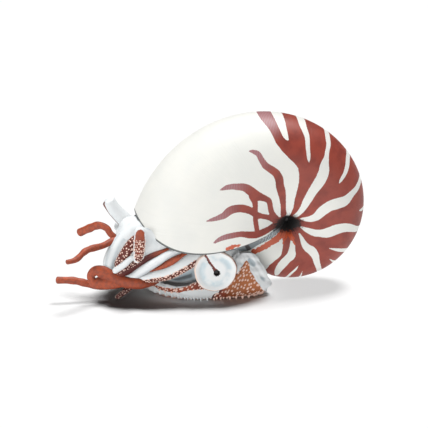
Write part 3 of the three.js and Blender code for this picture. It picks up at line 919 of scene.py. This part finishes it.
def melt(grids, voxel, passes):
    """One skin over overlapping closed grids, and its vertices in millimetres: it is remeshed in
    cubes of `voxel` millimetres, then each vertex is moved `passes` times half way to the mean
    of its neighbours."""
    parts = [put_grid(f"clay_{number}", grid) for number, grid in enumerate(grids)]
    work = bmesh.new()
    for part in parts:
        work.from_mesh(part.data)
    joined = bpy.data.meshes.new("clay")
    work.to_mesh(joined)
    work.free()
    clay = bpy.data.objects.new("clay", joined)
    bpy.context.scene.collection.objects.link(clay)
    remesh = clay.modifiers.new("melt", "REMESH")
    remesh.mode = "VOXEL"
    remesh.voxel_size = voxel * MM
    melted = bpy.data.meshes.new_from_object(clay.evaluated_get(bpy.context.evaluated_depsgraph_get()))
    for part in parts + [clay]:
        bpy.data.objects.remove(part)
    places = np.empty(3 * len(melted.vertices))
    melted.vertices.foreach_get("co", places)
    places = places.reshape(-1, 3) / MM - [CENTRING, 0, 0]
    edges = np.empty(2 * len(melted.edges), int)
    melted.edges.foreach_get("vertices", edges)
    near, far = edges.reshape(-1, 2).T
    shared = np.bincount(near, minlength=len(places)) + np.bincount(far, minlength=len(places))
    for _ in range(passes):
        total = [np.bincount(near, places[far, axis], len(places))
                 + np.bincount(far, places[near, axis], len(places)) for axis in range(3)]
        places = (places + np.stack(total, -1) / shared[:, None]) / 2
    melted.vertices.foreach_set("co", ((places + [CENTRING, 0, 0]) * MM).ravel())
    return melted, places


CLAY_VOXEL = 0.4
CLAY_PASSES = 24
ROOT_THINNER = 0.15
LOBE_COVER = np.array([[0.5], [0.5], [0.2], [-0.4]])
FUNNEL_FOLD = [(-20, -3, 20, 4, 4), (-28, -3.4, 23.6, 3.2, 3.2), (-35.2, -4.4, 23.4, 2, 2.4)]
clay = [egg((-9, 0, 15.4), (20.2, 15.1, 12.3)), egg((-23.5, 0, 19), (8.3, 11.6, 10.6))]
for side in (1, -1):
    mirror = np.array([1, side, 1])
    clay.append(egg((-21.5, -9.3, 22.3), (6.6, 5.4, 6.4)) * mirror)
    clay.append(finger(FUNNEL_FOLD)[0] * mirror)
    root = np.array(VENTRAL[:4])
    root[:, 3:] += LOBE_COVER
    clay.append((finger(root)[0] + (FAR_LOBE if side < 0 else (0, 0, 0))) * mirror)
clay.append(egg((-29.2, -3.6, 25.4), (4.6, 4, 4.4)))
clay.append(finger(np.array(FUNNEL[:3]) - [0, 0, 0, ROOT_THINNER, ROOT_THINNER])[0])
melted, places = melt(clay, CLAY_VOXEL, CLAY_PASSES)
x, y, z = places.T
# painted shade: grey in the recess by the shell's lip, and a darker streak low on each side
shaded_recess = zone(x, z, [(-28.6, 30), (-22, 26.5), (-17, 21.5), (-16, 24), (-22, 30), (-28, 34)])
shade_streak = zone(x, z, [(-8.6, 11), (-12, 9.6), (-17, 6.8), (-16, 6.2), (-11, 7.4), (-8, 8.8)])
head = bpy.data.objects.new("head_body", melted)
bpy.context.scene.collection.objects.link(head)
melted.polygons.foreach_set("use_smooth", np.ones(len(melted.polygons), bool))
# painted shade: grey over the head's lower sides under the lateral sheath, darkest in the streak
low_side_shade = ease(16.5, 12.5, z + 0.1 * x + 1.6) * ease(8, 11, np.abs(y))
wash_and_shade = 0.15 + 0.22 * swell(x, y, z, 1.3) + 0.7 * ease(-1, 1, shaded_recess)
wash_and_shade = wash_and_shade + low_side_shade * (0.5 + 1.3 * ease(-1, 0.9, shade_streak))
write_values(melted, {"bare": 0, "spot": 0, "deep": 0, "wash_and_shade": wash_and_shade}, x.shape)
stand_in_for(head, "mantle", flesh_finish, "head")

# %% [markdown]
# The eyes are shallow dishes on short stalks, turned about their own axis. A real nautilus eye
# is a pinhole with a groove running up from it, so the pupil is a pit and the slit is pressed
# into the dish.

# %% Eyes
EYE = np.array([-0.7, -18.9, 12.8])
EYE_RADIUS = 7.68
PROFILE_RADIUS = 7.3
# rows of the profile: those of the face, and those over which the brown behind the rim comes
# in and fades out again
FACE_ROWS = 62
BACK_FROM = (58, 64)
BACK_TO = (86, 76)
PUPIL = (0.5, -0.85)
PUPIL_RADIUS = 1.15
PUPIL_DEPTH = 0.9
SLIT_DEPTH = 0.3
SLIT = [(0.4, -0.8, 0.8), (0.1, 0, 0.55), (-0.6, 1.1, 0.42), (-2.2, 3.5, 0.38), (-4, 6.8, 0.32)]

profile = spline([(0, -0.55), (1.5, -0.5), (3.2, -0.42), (5, -0.5), (6.3, -0.12), (6.85, 0), (7.2, -0.45),
                  (7.3, -1.1), (7.05, -1.9), (6.2, -2.7), (4.6, -3.4), (3.9, -5.2), (3.4, -7),
                  (0, -7)], 150)
profile[:, 0] = np.maximum(profile[:, 0], 0) * EYE_RADIUS / PROFILE_RADIUS
profile[[0, -1], 0] = 0
spin = np.linspace(0, 2 * np.pi, 192, endpoint=False)
uneven = 1 + 0.012 * np.sin(3 * spin + 1) + 0.009 * np.sin(5 * spin) + 0.006 * np.sin(11 * spin)
across = profile[:, :1] * np.cos(spin) * uneven
upward = profile[:, :1] * np.sin(spin) * uneven
in_front = (np.arange(len(profile)) < FACE_ROWS)[:, None]
slit = np.full(across.shape, -99.0)
for start, end in zip(SLIT, SLIT[1:]):
    slit = np.maximum(slit, start[2] - off_segment(across, upward, start, end)[1])
slit = np.where(in_front, slit, -9)
pupil = np.where(in_front, PUPIL_RADIUS - np.hypot(across - PUPIL[0], upward - PUPIL[1]), -9)
depth = profile[:, 1:] - SLIT_DEPTH * ease(-0.1, 0.2, slit) - PUPIL_DEPTH * ease(-0.1, 0.4, pupil)
grid = np.stack([EYE[0] + across, EYE[1] - depth, EYE[2] + upward], -1)
rim_rows = np.arange(len(profile))[:, None]
low_hind = ease(0.0, 0.5, (across - upward) / EYE_RADIUS)
behind = ease(*BACK_FROM, rim_rows) * ease(*BACK_TO, rim_rows) * low_hind

EYE_WHITE = colour(242, 245, 245)
EYE_RING = colour(198, 218, 226)
EYE_RIM = colour(246, 226, 214)
SLIT_BROWN = colour(120, 52, 42)
BACK_BROWN = colour(140, 70, 52)
PUPIL_BLACK = colour(16, 12, 12)
finish = Finish("painted_eye")
radius = finish.attribute("radius")
ring = radius.ramp(3.0, 4.6) * (1 - radius.ramp(5.2, 6.5)) * finish.noise(0.25, 3).ramp(0.35, 0.65) * 0.8
skin = finish.mix(ring, EYE_WHITE, EYE_RING)
skin = finish.mix(radius.ramp(6.9, 7.3), skin, EYE_RIM)
skin = finish.mix(finish.attribute("behind"), skin, BACK_BROWN)
rough_edge = finish.noise(2.2, 3) - 0.5
skin = finish.mix((finish.attribute("slit") + rough_edge).ramp(-0.05, 0.08), skin, SLIT_BROWN)
skin = finish.mix((finish.attribute("pupil") + rough_edge).ramp(-0.05, 0.08), skin, PUPIL_BLACK)
eye_finish = finish.set(Base_Color=skin, Roughness=0.38, Normal=finish.bump(finish.noise(0.8, 2), 0.05, 0.4))
values = {"radius": profile[:, :1], "slit": slit, "pupil": pupil, "behind": behind}
for side in ("right", "left"):
    piece = put_grid(f"eye_dish_{side}", grid, values, mirror=side == "left")
    stand_in_for(piece, "eye", eye_finish, f"eye_{side}")

# %% [markdown]
# The hood is the leathery shield over a nautilus's head, and here the figurine lies on it. It
# is a bowl drawn round its middle: every direction has the same profile, out along the
# underside, up the wall and back down inside. It is cut back behind, where the coil hangs, and
# an ear stands up on each side behind the eye.

# %% Hood
HOOD_X = -2
HOOD_FRONT = (24, 2.6)
HOOD_REAR = (28.2, 4)
HOOD_HALF_WIDTH = 14
HOOD_WALL = 2.6
HOOD_FLOOR = 5.2
HOOD_EAR_LEAN = 2.2
# degrees from the hind end, height of the rim
RIM = [(0, 3.6), (12, 3.8), (18, 4.4), (22, 5), (26, 6.4), (29, 8), (30.5, 11.4), (32.5, 14.6),
       (35.5, 16.2), (40, 16.8), (46, 16.7), (50, 15.4), (54, 12.6), (60, 9.8), (75, 8.8), (100, 8.4),
       (112, 7.2), (122, 5.8), (135, 5.3), (145, 6.2), (155, 7.2), (165, 7.4), (180, 7.2)]
# degrees from the hind end, height of the lower edge
LIFT = [(0, 4.4), (40, 3), (65, 2.3), (95, 1.9), (118, 2), (130, 2.9), (142, 4.6), (155, 5.6), (180, 5.6)]
HOOD_NOTCH = 0.4
HOOD_NOTCH_SPREAD = 20
# row of the grid at which each point of the profile lies
KNOT_ROWS = [0, 8, 16, 36, 60, 96, 126, 134, 142, 156, 162, 168]

turn = np.linspace(-180, 180, 520, endpoint=False)
cos_turn, sin_turn = np.cos(np.radians(turn)), np.sin(np.radians(turn))
end_reach = np.where(cos_turn < 0, HOOD_FRONT[0], HOOD_REAR[0])
end_power = np.where(cos_turn < 0, HOOD_FRONT[1], HOOD_REAR[1])
oval = (np.abs(cos_turn) / end_reach) ** end_power + (np.abs(sin_turn) / HOOD_HALF_WIDTH) ** end_power
reach = oval ** (-1 / end_power) * (1 - HOOD_NOTCH * np.exp(-((turn / HOOD_NOTCH_SPREAD) ** 2)))
rim = np.interp(np.abs(turn), *np.transpose(RIM))
lean = HOOD_EAR_LEAN * ease(7, 16, rim)
flat_reach = reach * (0.7 + 0.14 * sin_turn**2)
lift = np.interp(np.abs(turn), *np.transpose(LIFT))
zero = 0 * turn
inside_floor = zero + HOOD_FLOOR - 0.4
knots = np.stack([
    [zero, flat_reach * 0.6, flat_reach, (reach + flat_reach) / 2, reach, reach - lean * 0.4,
     reach - lean, reach - lean - 0.9, reach - lean - HOOD_WALL, reach - lean * 0.5 - HOOD_WALL,
     (reach - HOOD_WALL) * 0.5, zero],
    [zero, zero, zero, 0.3 * lift, lift, (lift + rim) / 2, rim - 0.6, rim, rim - 0.9,
     np.minimum(rim - 1.1, HOOD_FLOOR), inside_floor, inside_floor],
], 1)
rows = np.interp(np.arange(KNOT_ROWS[-1] + 1), KNOT_ROWS, np.arange(len(KNOT_ROWS)))
bowl = np.maximum(curve(knots, rows), 0)
out, height = bowl[:, 0], bowl[:, 1]
out[0] = out[-1] = 0
grid = np.stack([HOOD_X + out * cos_turn, out * sin_turn, height], -1)
print("hood grid", grid.shape)

# %% [markdown]
# The wall and the underside are orange-brown and set with pale warts, which stand out furthest
# along the lower edge and turn it into a saw. The ear's hind part and the inside are white.
# Painted shade darkens the red along the triangle's front edge, low down and across the middle,
# and greys the valleys of the ear's lumps; the frill, which faces down, is painted paler. The
# zones are drawn in the side view, in X and Z.

# %% Hood's warts and zones
STRIP = [(-4, 8.6), (-6.7, 7.6), (-9.5, 6), (-12.7, 5), (-16.7, 4.7), (-20.7, 5.3), (-25, 7), (-24.4, 6.1),
         (-20.7, 3.9), (-16.7, 3.1), (-12.7, 3.4), (-9.5, 4.2), (-4, 4.6)]
TRIANGLE = [(-3.5, -1), (-1.5, 1.2), (1.4, 4.2), (4, 6.8), (8, 10.2), (10.4, 13.2), (11.2, 14.5),
            (11.9, 13.8), (12.4, 11.4), (13.2, 8.8), (14.9, 5.7), (17.1, 2.9), (19.5, -1)]
TOOTH = 1.25
TOOTH_HALF = 0.34
TOOTH_HEIGHT = 1.3
WART_HEIGHT = 0.26
WART_LONG = 1.7
WART_SHORT = 1.05
WART_BELOW = 1.25
# rows of the grid, counted from the middle of the underside, up the wall and down inside
UNDERSIDE_END = 31
STRIP_FROM = 34
SAW_ROW = 42
RIM_ROW = 134
INSIDE_FROM = 150
x, y, z = np.moveaxis(grid, -1, 0)
step = np.arange(len(rows))[:, None]
stride = np.hypot(np.diff(reach * cos_turn), np.diff(reach * sin_turn))
along = np.concatenate([[0], np.cumsum(stride)])[None, :]
uneven = 0.5 * swell(x, y, z, 2.1)
slanted = warts((0.6 * along + 0.8 * z) / WART_LONG, (0.8 * along - 0.6 * z) / WART_SHORT, size=0.36, seed=6)
dots = np.where(step < UNDERSIDE_END, warts(x / WART_BELOW, y / WART_BELOW, size=0.4, seed=7), slanted)
on_triangle = np.where(step < RIM_ROW, zone(x, z, TRIANGLE), -3) + uneven
in_strip_rows = (step > STRIP_FROM) & (step < INSIDE_FROM)
on_strip = np.where(in_strip_rows, zone(x, z, STRIP), -3) + 0.4 * uneven
bare = np.maximum(np.maximum(on_triangle, on_strip), (UNDERSIDE_END - step) / 6)
tooth = np.maximum(0, 1 - ((along / TOOTH % 1 - 0.5) / TOOTH_HALF) ** 2)
tooth = tooth * (0.75 + 0.35 * np.sin(along * 2.3))
edge = np.exp(-(((step - SAW_ROW) / 5) ** 2))
rise = WART_HEIGHT * dots * ease(-0.2, 0.2, bare) * (step < INSIDE_FROM) + TOOTH_HEIGHT * tooth * edge
lumps = 0.4 * swell(x, y, z, 1.4) + 0.25 * swell(x, y, z, 3.1)
lumps = lumps * ease(60, 90, step) * ease(165, INSIDE_FROM, step) * ease(4, 8, z) * ease(0, -0.8, bare)
grid = raised(grid, rise + lumps)
grid[..., 2] = np.maximum(grid[..., 2], 0)
# painted shade: darker red along the triangle's front edge by the eye, low down and across the middle
hollow_shade = 0.8 * ease(1.1, 0.1, on_triangle) * ease(-2, -1, on_triangle) * ease(12, 8, x) + 0.35 * ease(5, 2, z)
hollow_shade = hollow_shade + 0.6 * ease(-12, -5, x) * ease(1, -2, x)
# painted shade: grey in the valleys between the ear's lumps
crevice_shade = 0.8 * ease(-0.1, -0.6, swell(x, y, z, 1.4)) * ease(5, 9, x)
# painted light: the frill, which faces down, is made paler than the white around it
frill = ease(-1, -4, x) * ease(7.5, 5.5, z)
mottled = 0.25 * swell(x, y, z, 3.4) * (1 - frill)
# on bare orange-brown the value turns the ground ochre towards the rear
hood_wash_and_shade = np.where(bare > 0, 0.75 * ease(2, 6, x), crevice_shade - 0.35 * frill + mottled)
flesh("hood_shield", grid, "hood", ["hood"], bare=0.5 + bare, spot=np.maximum(dots, tooth * edge * 1.2),
      deep=0.1 + hollow_shade, wash_and_shade=hood_wash_and_shade, both=False)

# %% [markdown]
# The floor is a plain white sheet, large enough to fill the view from every side. Two soft
# lamps, one in front and one at the left, fill the figurine and spare the floor. Overhead, one
# sun lights the figurine and two light the floor. A single sun would make every shadow equally
# dark, so one of the floor's two isn't blocked by the shell and the free tentacles: their
# shadows stay pale, and the one under the hood is dark. The surround is almost black, and of
# the whole scene only the hood and the floor bounce light onto what is near them.

# %% Floor and light
bpy.ops.mesh.primitive_plane_add(size=6, location=(0, 0, 0))
floor = bpy.context.object
floor.name = "floor"
floor_finish = Finish("floor").set(Base_Color=(0.95, 0.95, 0.95, 1), Roughness=0.8)
floor.data.materials.append(floor_finish)


def lamp(name, place, aim, width, height, watts):
    """A soft lamp, `width` by `height`, at `place` and pointing at `aim`, in millimetres."""
    light = bpy.data.lights.new(name, "AREA")
    light.shape = "RECTANGLE"
    light.size = width * MM
    light.size_y = height * MM
    light.energy = watts
    made = bpy.data.objects.new(name, light)
    away = unit(np.array(place, float) - np.array(aim, float))
    side = unit(np.cross([0.0, 0.0, 1.0], away))
    turned = np.eye(4)
    turned[:3, :3] = np.column_stack([side, np.cross(away, side), away])
    turned[:3, 3] = np.array(place) * MM
    made.matrix_world = Matrix(turned.tolist())
    bpy.context.scene.collection.objects.link(made)
    return made


bpy.context.scene.view_settings.view_transform = "Standard"
front = lamp("front", (-60, -900, 60), (0, 0, 40), 1200, 80, 2.45)
left = lamp("left", (-800, -450, 260), (-10, 0, 35), 500, 400, 3.3)
spared = bpy.data.collections.new("left_to_the_overhead_light")
spared.objects.link(floor)
spared.collection_objects[0].light_linking.link_state = "EXCLUDE"
for fill in (front, left):
    fill.light_linking.receiver_collection = spared


def overhead(name, energy, width, behind, aside):
    """Light from above, `width` degrees wide, leaning over from behind and from the right."""
    light = bpy.data.lights.new(name, "SUN")
    light.energy = energy
    light.angle = np.radians(width)
    made = bpy.data.objects.new(name, light)
    made.location = (0, 0, 0.7)
    made.rotation_euler = np.radians([-behind, aside, 0])
    bpy.context.scene.collection.objects.link(made)
    return made


on_figurine = overhead("overhead_on_figurine", 3.6, 36, 9, 8)
on_floor = overhead("overhead_on_floor", 1.4, 16, 10, 14)
past_shell = overhead("overhead_past_the_shell", 2.2, 16, 10, 14)
floor_alone = bpy.data.collections.new("floor_alone")
floor_alone.objects.link(floor)
no_shadow = bpy.data.collections.new("cast_no_shadow")
for piece in bpy.data.objects:
    if piece is shell or piece.name.endswith("_tentacle"):
        no_shadow.objects.link(piece)
for linked in no_shadow.collection_objects:
    linked.light_linking.link_state = "EXCLUDE"
on_figurine.light_linking.receiver_collection = spared
on_floor.light_linking.receiver_collection = floor_alone
past_shell.light_linking.receiver_collection = floor_alone
past_shell.light_linking.blocker_collection = no_shadow
for piece in bpy.data.objects:
    if piece.type == "MESH" and piece is not floor and not piece.name.startswith("hood"):
        piece.visible_diffuse = False
world = bpy.data.worlds.new("surround")
world.use_nodes = True
world.node_tree.nodes["Background"].inputs["Color"].default_value = (1, 0.75, 0.7, 1)
world.node_tree.nodes["Background"].inputs["Strength"].default_value = 0.02
bpy.context.scene.world = world
print("lit")
